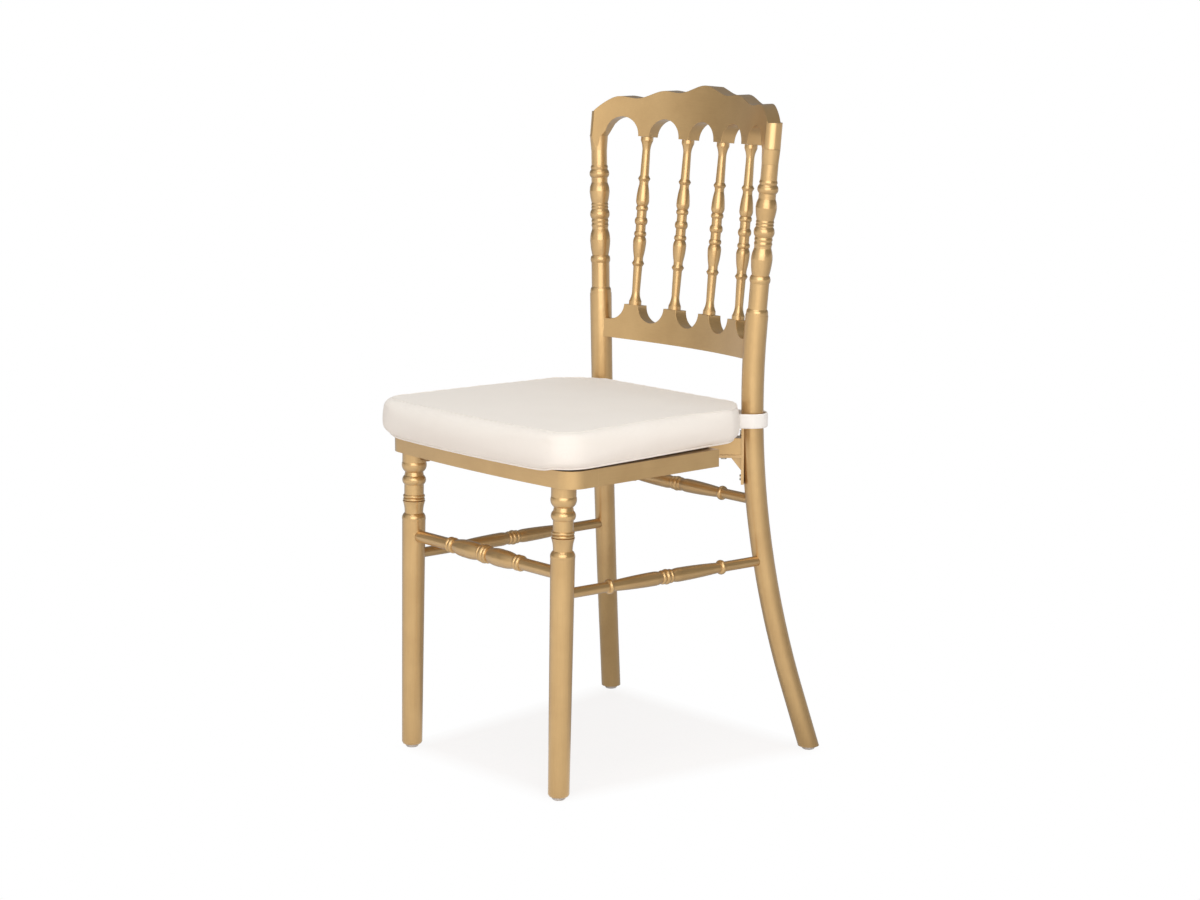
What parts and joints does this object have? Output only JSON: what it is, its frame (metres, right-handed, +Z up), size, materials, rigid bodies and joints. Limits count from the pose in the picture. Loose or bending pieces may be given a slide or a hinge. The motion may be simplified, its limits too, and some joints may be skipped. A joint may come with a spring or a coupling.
{
  "type": "napoleon chair",
  "caption": "Gold painted wooden banquet chair with turned legs, bent rear posts, a scalloped spindle back and a loose ivory seat cushion strapped to the posts.",
  "frame": {"origin": "on the floor, below the middle of the bounding box", "axes": "+Z up, the sitter faces -Y, +X towards the sitter's left"},
  "size_m": [0.4502, 0.4637, 0.9129],
  "materials": {
    "gold_wood": "satin metallic gold paint",
    "panel_wood": "gold painted plywood",
    "bracket_metal": "gold paint over steel",
    "screw_steel": "zinc plated",
    "glide_plastic": "moulded",
    "bumper_plastic": "moulded, gold brown",
    "cushion_fabric": "plain weave, ivory",
    "cushion_foam": "cut foam"
  },
  "bodies": {
    "chair": {"crest_rail": "gold_wood", "lower_back_rail": "gold_wood", "front_stretcher": "gold_wood", "rear_stretcher": "gold_wood", "seat_front_rail": "gold_wood", "seat_rear_board": "gold_wood", "front_leg_left": "gold_wood", "front_leg_right": "gold_wood", "rear_post_left": "gold_wood", "rear_post_right": "gold_wood", "side_stretcher_left": "gold_wood", "side_stretcher_right": "gold_wood", "seat_side_rail_left": "gold_wood", "seat_side_rail_right": "gold_wood", "spindle_outer_left": "gold_wood", "spindle_outer_right": "gold_wood", "spindle_inner_left": "gold_wood", "spindle_inner_right": "gold_wood", "seat_panel": "panel_wood", "bracket_screws": "screw_steel", "rear_bracket_left": "bracket_metal", "stacking_bumper_left": "bumper_plastic", "glide_front_left": "glide_plastic", "glide_rear_left": "glide_plastic", "rear_bracket_right": "bracket_metal", "stacking_bumper_right": "bumper_plastic", "glide_front_right": "glide_plastic", "glide_rear_right": "glide_plastic"},
    "cushion": {"cushion_cover": "cushion_fabric", "cushion_foam": "cushion_foam", "cushion_strap_left": "cushion_fabric", "cushion_strap_right": "cushion_fabric"}
  },
  "joints": [
    {"name": "cushion_lift", "type": "slide", "parent": "chair", "child": "cushion", "axis": [0, 0, 1], "range_m": [0, 0.055]}
  ]
}
